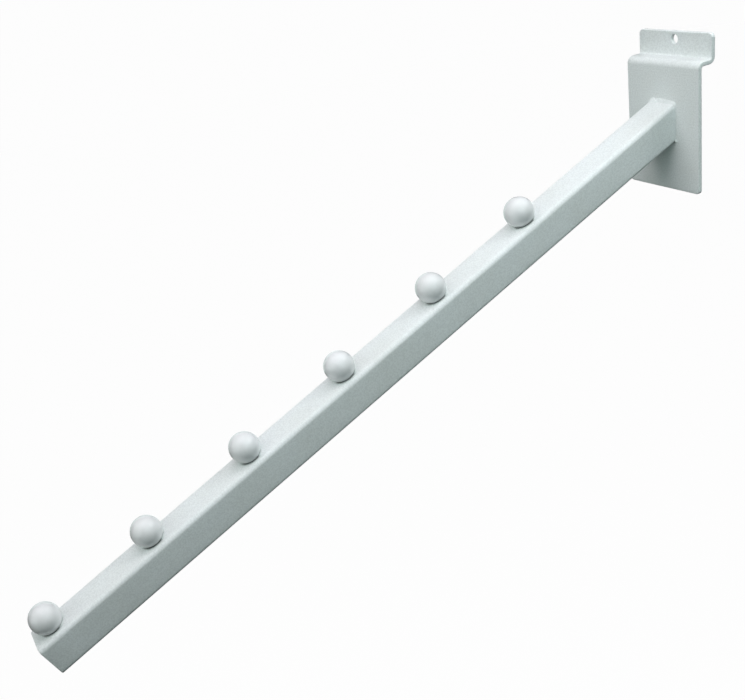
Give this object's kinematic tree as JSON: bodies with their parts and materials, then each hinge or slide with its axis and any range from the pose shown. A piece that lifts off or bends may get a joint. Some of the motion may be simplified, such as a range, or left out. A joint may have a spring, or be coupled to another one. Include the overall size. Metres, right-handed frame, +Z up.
{
  "type": "slatwall waterfall display arm",
  "caption": "Bent hook bracket for a slatwall groove, with a square arm that slopes down and out and carries a row of balls that keep garment hangers apart.",
  "frame": {"origin": "on the bracket plate's back face, on its upright centre line, level with the arm's centre line at the plate", "axes": "+Z up, +Y into the wall and square to the plate's back face, +X to the right for a person who faces the wall"},
  "size_m": [0.0508, 0.3977, 0.2076],
  "materials": {
    "bracket_coat": "smooth white powder coat, satin gloss",
    "tube_coat": "smooth white powder coat, satin gloss",
    "cap_coat": "smooth white powder coat, satin gloss",
    "ball_coat": "smooth white powder coat, glossy",
    "weld_coat": "white powder coat over a lumpy weld bead"
  },
  "bodies": {
    "root": {"bracket_plate": "bracket_coat", "arm_tube": "tube_coat", "arm_end_cap": "cap_coat", "hook_ball_1": "ball_coat", "hook_ball_2": "ball_coat", "hook_ball_3": "ball_coat", "hook_ball_4": "ball_coat", "hook_ball_5": "ball_coat", "hook_ball_6": "ball_coat", "ball_weld_1": "weld_coat", "ball_weld_2": "weld_coat", "ball_weld_3": "weld_coat", "ball_weld_4": "weld_coat", "ball_weld_5": "weld_coat", "ball_weld_6": "weld_coat", "arm_weld_top": "weld_coat", "arm_weld_bottom": "weld_coat", "arm_weld_left": "weld_coat", "arm_weld_right": "weld_coat"}
  },
  "joints": []
}
